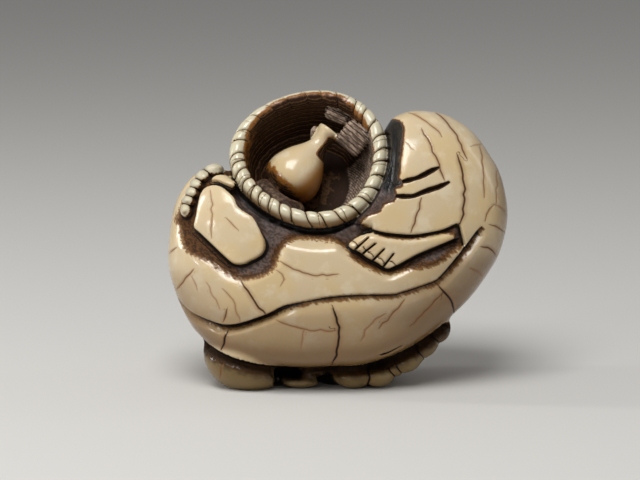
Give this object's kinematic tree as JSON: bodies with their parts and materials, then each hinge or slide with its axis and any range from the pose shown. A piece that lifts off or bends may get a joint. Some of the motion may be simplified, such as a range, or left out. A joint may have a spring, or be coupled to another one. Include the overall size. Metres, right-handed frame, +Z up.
{
  "type": "netsuke",
  "caption": "Small ivory-like carving of a robed figure curled round a rope-rimmed basket that holds a gourd bottle, with cord holes in its back; stands on its underside.",
  "frame": {"origin": "middle of the footprint's bounding box, on the surface that the carving stands on", "axes": "-Y is the carved face, which leans back a little, +X is to the viewer's right of that face, +Z is up"},
  "size_m": [0.0438, 0.0236, 0.0374],
  "materials": {
    "ivory": "gloss"
  },
  "bodies": {
    "root": {"netsuke": "ivory"}
  },
  "joints": []
}
